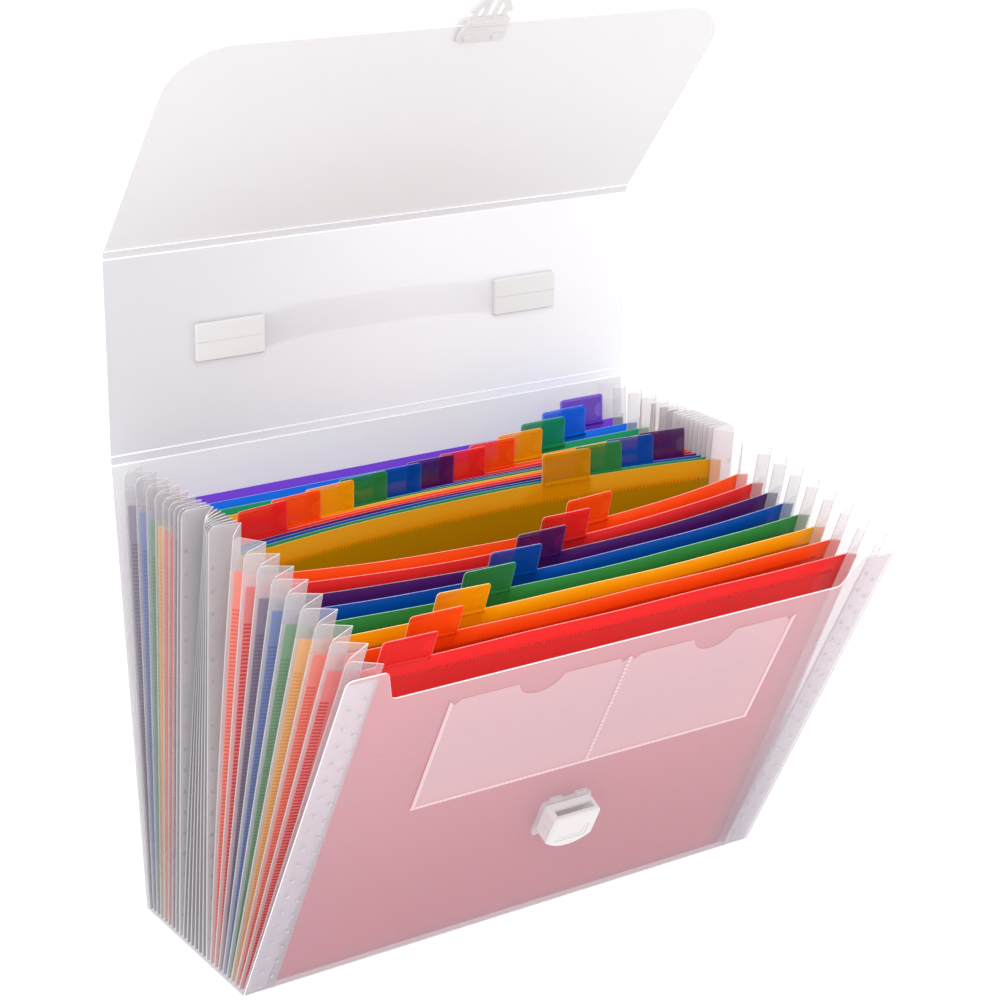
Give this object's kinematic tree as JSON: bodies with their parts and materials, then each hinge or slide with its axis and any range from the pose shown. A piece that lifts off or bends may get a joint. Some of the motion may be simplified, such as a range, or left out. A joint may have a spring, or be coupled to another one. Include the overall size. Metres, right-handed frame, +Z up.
{
  "type": "accordion file folder",
  "caption": "Translucent plastic accordion file folder with coloured tabbed dividers, pleated sides, and a fold-over lid with a carrying handle and a push latch.",
  "frame": {"origin": "middle of the base panel's underside", "axes": "+X across the folder to its right as seen from the front, -Y towards the front panel, +Z up"},
  "size_m": [0.33, 0.2609, 0.493],
  "materials": {
    "cover_sheet": "frosted translucent polypropylene with a fine grain",
    "bellows_film": "milky translucent polypropylene film",
    "card_film": "clear smooth film",
    "white_fittings": "glossy white moulded plastic",
    "divider_red": "translucent red polypropylene sheet",
    "divider_orange": "translucent orange polypropylene sheet",
    "divider_yellow": "translucent yellow polypropylene sheet",
    "divider_green": "translucent green polypropylene sheet",
    "divider_blue": "translucent blue polypropylene sheet",
    "divider_purple": "translucent purple polypropylene sheet"
  },
  "bodies": {
    "base": {"base_panel": "cover_sheet", "bellows_left_front": "bellows_film", "bellows_left_middle": "bellows_film", "bellows_left_rear": "bellows_film", "bellows_right_front": "bellows_film", "bellows_right_middle": "bellows_film", "bellows_right_rear": "bellows_film"},
    "front": {"front_panel": "cover_sheet", "card_pocket": "card_film", "latch_receiver": "white_fittings", "latch_backing_plate": "white_fittings"},
    "button": {"latch_button": "white_fittings"},
    "back": {"back_panel": "cover_sheet"},
    "lid": {"lid_panel": "cover_sheet", "handle_strap": "white_fittings", "handle_cap_left": "white_fittings", "handle_cap_right": "white_fittings", "handle_plate_left": "white_fittings", "handle_plate_right": "white_fittings"},
    "front_crease": {"front_crease_strip": "cover_sheet"},
    "flap": {"flap": "cover_sheet", "latch_tongue": "white_fittings", "latch_clamp_bar": "white_fittings"},
    "divider_01": {"divider_01": "divider_red"},
    "divider_02": {"divider_02": "divider_orange"},
    "divider_03": {"divider_03": "divider_yellow"},
    "divider_04": {"divider_04": "divider_green"},
    "divider_05": {"divider_05": "divider_blue"},
    "divider_06": {"divider_06": "divider_purple"},
    "divider_07": {"divider_07": "divider_red"},
    "divider_08": {"divider_08": "divider_orange"},
    "divider_09": {"divider_09": "divider_yellow"},
    "divider_10": {"divider_10": "divider_green"},
    "divider_11": {"divider_11": "divider_blue"},
    "divider_12": {"divider_12": "divider_purple"},
    "divider_13": {"divider_13": "divider_red"},
    "divider_14": {"divider_14": "divider_orange"},
    "divider_15": {"divider_15": "divider_yellow"},
    "divider_16": {"divider_16": "divider_green"},
    "divider_17": {"divider_17": "divider_blue"},
    "divider_18": {"divider_18": "divider_purple"},
    "divider_19": {"divider_19": "divider_red"},
    "divider_20": {"divider_20": "divider_orange"},
    "divider_21": {"divider_21": "divider_yellow"},
    "divider_22": {"divider_22": "divider_green"},
    "divider_23": {"divider_23": "divider_blue"},
    "divider_24": {"divider_24": "divider_purple"}
  },
  "joints": [
    {"name": "bellows_fold", "type": "hinge", "parent": "base", "child": "front", "pos_m": [0, -0.056, 0.0004], "axis": [-1, 0, 0], "range_deg": [0, 30], "deforming": ["bellows_left_front", "bellows_left_middle", "bellows_left_rear", "bellows_right_front", "bellows_right_middle", "bellows_right_rear"]},
    {"name": "back_fold", "type": "hinge", "parent": "base", "child": "back", "pos_m": [0, 0.056, 0.0004], "axis": [1, 0, 0], "range_deg": [0, 5]},
    {"name": "divider_01_fold", "type": "hinge", "parent": "base", "child": "divider_01", "pos_m": [0, -0.05152, 0.0012], "axis": [-1, 0, 0], "range_deg": [0, 27.5]},
    {"name": "divider_02_fold", "type": "hinge", "parent": "base", "child": "divider_02", "pos_m": [0, -0.04704, 0.0012], "axis": [-1, 0, 0], "range_deg": [0, 25.05]},
    {"name": "divider_03_fold", "type": "hinge", "parent": "base", "child": "divider_03", "pos_m": [0, -0.04256, 0.0012], "axis": [-1, 0, 0], "range_deg": [0, 22.64]},
    {"name": "divider_04_fold", "type": "hinge", "parent": "base", "child": "divider_04", "pos_m": [0, -0.03808, 0.0012], "axis": [-1, 0, 0], "range_deg": [0, 20.26]},
    {"name": "divider_05_fold", "type": "hinge", "parent": "base", "child": "divider_05", "pos_m": [0, -0.0336, 0.0012], "axis": [-1, 0, 0], "range_deg": [0, 17.9]},
    {"name": "divider_06_fold", "type": "hinge", "parent": "base", "child": "divider_06", "pos_m": [0, -0.02912, 0.0012], "axis": [-1, 0, 0], "range_deg": [0, 15.57]},
    {"name": "divider_07_fold", "type": "hinge", "parent": "base", "child": "divider_07", "pos_m": [0, -0.02464, 0.0012], "axis": [-1, 0, 0], "range_deg": [0, 13.26]},
    {"name": "divider_08_fold", "type": "hinge", "parent": "base", "child": "divider_08", "pos_m": [0, -0.02016, 0.0012], "axis": [-1, 0, 0], "range_deg": [0, 10.97]},
    {"name": "divider_09_fold", "type": "hinge", "parent": "base", "child": "divider_09", "pos_m": [0, -0.01568, 0.0012], "axis": [-1, 0, 0], "range_deg": [0, 5.92]},
    {"name": "divider_10_fold", "type": "hinge", "parent": "base", "child": "divider_10", "pos_m": [0, -0.0112, 0.0012], "axis": [-1, 0, 0], "range_deg": [0, 5.87]},
    {"name": "divider_11_fold", "type": "hinge", "parent": "base", "child": "divider_11", "pos_m": [0, -0.00672, 0.0012], "axis": [-1, 0, 0], "range_deg": [0, 5.81]},
    {"name": "divider_12_fold", "type": "hinge", "parent": "base", "child": "divider_12", "pos_m": [0, -0.00224, 0.0012], "axis": [-1, 0, 0], "range_deg": [0, 5.76]},
    {"name": "divider_13_fold", "type": "hinge", "parent": "base", "child": "divider_13", "pos_m": [0, 0.00224, 0.0012], "axis": [-1, 0, 0], "range_deg": [0, 5.71]},
    {"name": "divider_14_fold", "type": "hinge", "parent": "base", "child": "divider_14", "pos_m": [0, 0.00672, 0.0012], "axis": [-1, 0, 0], "range_deg": [0, 5.66]},
    {"name": "divider_15_fold", "type": "hinge", "parent": "base", "child": "divider_15", "pos_m": [0, 0.0112, 0.0012], "axis": [-1, 0, 0], "range_deg": [0, 5.6]},
    {"name": "divider_16_fold", "type": "hinge", "parent": "base", "child": "divider_16", "pos_m": [0, 0.01568, 0.0012], "axis": [-1, 0, 0], "range_deg": [0, 5.55]},
    {"name": "divider_17_fold", "type": "hinge", "parent": "base", "child": "divider_17", "pos_m": [0, 0.02016, 0.0012], "axis": [-1, 0, 0], "range_deg": [0, 5.68]},
    {"name": "divider_18_fold", "type": "hinge", "parent": "base", "child": "divider_18", "pos_m": [0, 0.02464, 0.0012], "axis": [-1, 0, 0], "range_deg": [0, 5.66]},
    {"name": "divider_19_fold", "type": "hinge", "parent": "base", "child": "divider_19", "pos_m": [0, 0.02912, 0.0012], "axis": [-1, 0, 0], "range_deg": [0, 5.39]},
    {"name": "divider_20_fold", "type": "hinge", "parent": "base", "child": "divider_20", "pos_m": [0, 0.0336, 0.0012], "axis": [-1, 0, 0], "range_deg": [0, 4.79]},
    {"name": "divider_21_fold", "type": "hinge", "parent": "base", "child": "divider_21", "pos_m": [0, 0.03808, 0.0012], "axis": [-1, 0, 0], "range_deg": [0, 3.81]},
    {"name": "divider_22_fold", "type": "hinge", "parent": "base", "child": "divider_22", "pos_m": [0, 0.04256, 0.0012], "axis": [-1, 0, 0], "range_deg": [0, 2.38]},
    {"name": "divider_23_fold", "type": "hinge", "parent": "base", "child": "divider_23", "pos_m": [0, 0.04704, 0.0012], "axis": [-1, 0, 0], "range_deg": [0, 0.464]},
    {"name": "divider_24_fold", "type": "hinge", "parent": "base", "child": "divider_24", "pos_m": [0, 0.05152, 0.0012], "axis": [-1, 0, 0], "range_deg": [-1.98, 0]},
    {"name": "lid_fold", "type": "hinge", "parent": "back", "child": "lid", "pos_m": [0, 0.07775, 0.24895], "axis": [1, 0, 0], "range_deg": [0, 85]},
    {"name": "flap_fold", "type": "hinge", "parent": "lid", "child": "front_crease", "pos_m": [0, 0.07796, 0.35895], "axis": [1, 0, 0], "range_deg": [-64.25, 25.75]},
    {"name": "flap_fold_outer", "type": "hinge", "parent": "front_crease", "child": "flap", "pos_m": [0, 0.07631, 0.36367], "axis": [1, 0, 0], "range_deg": [-64.25, 25.75]},
    {"name": "button_press", "type": "slide", "parent": "front", "child": "button", "axis": [0, 0.891, 0.454], "range_m": [0, 0.0009], "stiffness_N_per_m": 400}
  ],
  "couplings": [
    {"joint": "lid_fold", "follows": "bellows_fold", "ratio": 2.8333},
    {"joint": "back_fold", "follows": "bellows_fold", "ratio": 0.16667},
    {"joint": "divider_01_fold", "follows": "bellows_fold", "ratio": 0.91676},
    {"joint": "divider_02_fold", "follows": "bellows_fold", "ratio": 0.835},
    {"joint": "divider_03_fold", "follows": "bellows_fold", "ratio": 0.75452},
    {"joint": "divider_04_fold", "follows": "bellows_fold", "ratio": 0.67513},
    {"joint": "divider_05_fold", "follows": "bellows_fold", "ratio": 0.59669},
    {"joint": "divider_06_fold", "follows": "bellows_fold", "ratio": 0.51905},
    {"joint": "divider_07_fold", "follows": "bellows_fold", "ratio": 0.44207},
    {"joint": "divider_08_fold", "follows": "bellows_fold", "ratio": 0.36563},
    {"joint": "divider_09_fold", "follows": "bellows_fold", "ratio": 0.19723},
    {"joint": "divider_10_fold", "follows": "bellows_fold", "ratio": 0.19549},
    {"joint": "divider_11_fold", "follows": "bellows_fold", "ratio": 0.19374},
    {"joint": "divider_12_fold", "follows": "bellows_fold", "ratio": 0.19199},
    {"joint": "divider_13_fold", "follows": "bellows_fold", "ratio": 0.19025},
    {"joint": "divider_14_fold", "follows": "bellows_fold", "ratio": 0.1885},
    {"joint": "divider_15_fold", "follows": "bellows_fold", "ratio": 0.18675},
    {"joint": "divider_16_fold", "follows": "bellows_fold", "ratio": 0.18501},
    {"joint": "divider_17_fold", "follows": "bellows_fold", "ratio": 0.18913},
    {"joint": "divider_18_fold", "follows": "bellows_fold", "ratio": 0.18863},
    {"joint": "divider_19_fold", "follows": "bellows_fold", "ratio": 0.17964},
    {"joint": "divider_20_fold", "follows": "bellows_fold", "ratio": 0.1597},
    {"joint": "divider_21_fold", "follows": "bellows_fold", "ratio": 0.12678},
    {"joint": "divider_22_fold", "follows": "bellows_fold", "ratio": 0.079195},
    {"joint": "divider_23_fold", "follows": "bellows_fold", "ratio": 0.015399},
    {"joint": "divider_24_fold", "follows": "bellows_fold", "ratio": -0.066059},
    {"joint": "flap_fold_outer", "follows": "flap_fold", "ratio": 1}
  ]
}
